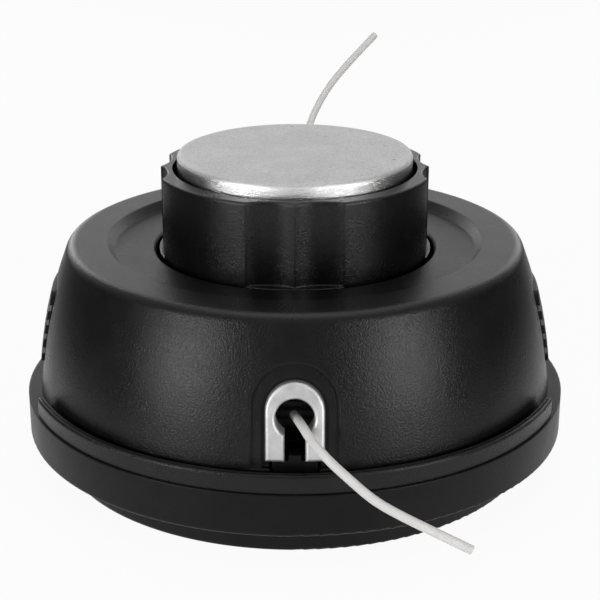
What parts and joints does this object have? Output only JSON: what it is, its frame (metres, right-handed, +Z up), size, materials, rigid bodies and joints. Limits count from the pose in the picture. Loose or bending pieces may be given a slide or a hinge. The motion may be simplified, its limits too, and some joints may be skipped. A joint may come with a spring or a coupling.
{
  "type": "trimmer head",
  "caption": "Bump-feed line head for a brush cutter: domed black cover snapped on a base, fluted knob with a free-turning steel cap, metal line eyelets and short tails of line.",
  "frame": {"origin": "on the axis, at the height of the base's bottom rim", "axes": "+Z up along the axis, towards the steel cap; -Y to the front eyelet; the two latches on +X and -X"},
  "size_m": [0.132, 0.1794, 0.0848],
  "materials": {
    "base_plastic": "fine-grained black nylon, satin",
    "cover_plastic": "fine-grained black nylon, satin",
    "knob_plastic": "fine-grained black nylon, satin",
    "spool_plastic": "plain black nylon",
    "eyelet_metal": "tumbled, satin, rounded edges",
    "cap_steel": "pressed steel, fine speckle, satin",
    "bearing_steel": "ground steel",
    "plain_steel": "zinc-plated steel",
    "line_nylon": "white nylon line, slightly milky"
  },
  "bodies": {
    "housing": {"base_housing": "base_plastic", "cover": "cover_plastic", "line_eyelet_front": "eyelet_metal", "line_eyelet_rear": "eyelet_metal", "drive_insert": "plain_steel", "return_spring": "plain_steel", "line_tail_front": "line_nylon", "line_tail_rear": "line_nylon"},
    "spring_seat": {"spring_washer": "plain_steel"},
    "spool": {"spool": "spool_plastic", "line_winding_lower": "line_nylon", "line_winding_upper": "line_nylon", "bump_knob": "knob_plastic", "knob_screws": "plain_steel", "bearing_outer_race": "bearing_steel"},
    "ball_cage": {"bearing_balls": "bearing_steel", "bearing_cage": "plain_steel"},
    "cap": {"bump_cap": "cap_steel", "bearing_inner_race": "bearing_steel", "cap_washer": "plain_steel", "cap_screw": "plain_steel"}
  },
  "joints": [
    {"name": "bump_press", "type": "slide", "parent": "housing", "child": "spring_seat", "axis": [0, 0, -1], "range_m": [0, 0.006], "stiffness_N_per_m": 2500, "springref_m": -0.01, "deforming": ["return_spring"]},
    {"name": "spool_index", "type": "hinge", "parent": "spring_seat", "child": "spool", "pos_m": [0, 0, 0.033], "axis": [0, 0, 1], "range_deg": [0, 30]},
    {"name": "cap_spin", "type": "hinge", "parent": "spool", "child": "cap", "pos_m": [0, 0, 0.059], "axis": [0, 0, 1], "continuous": true},
    {"name": "cage_spin", "type": "hinge", "parent": "spool", "child": "ball_cage", "pos_m": [0, 0, 0.059], "axis": [0, 0, 1], "continuous": true}
  ],
  "couplings": [
    {"joint": "spool_index", "follows": "bump_press", "rad_per_m": 87},
    {"joint": "cage_spin", "follows": "cap_spin", "ratio": 0.37}
  ]
}
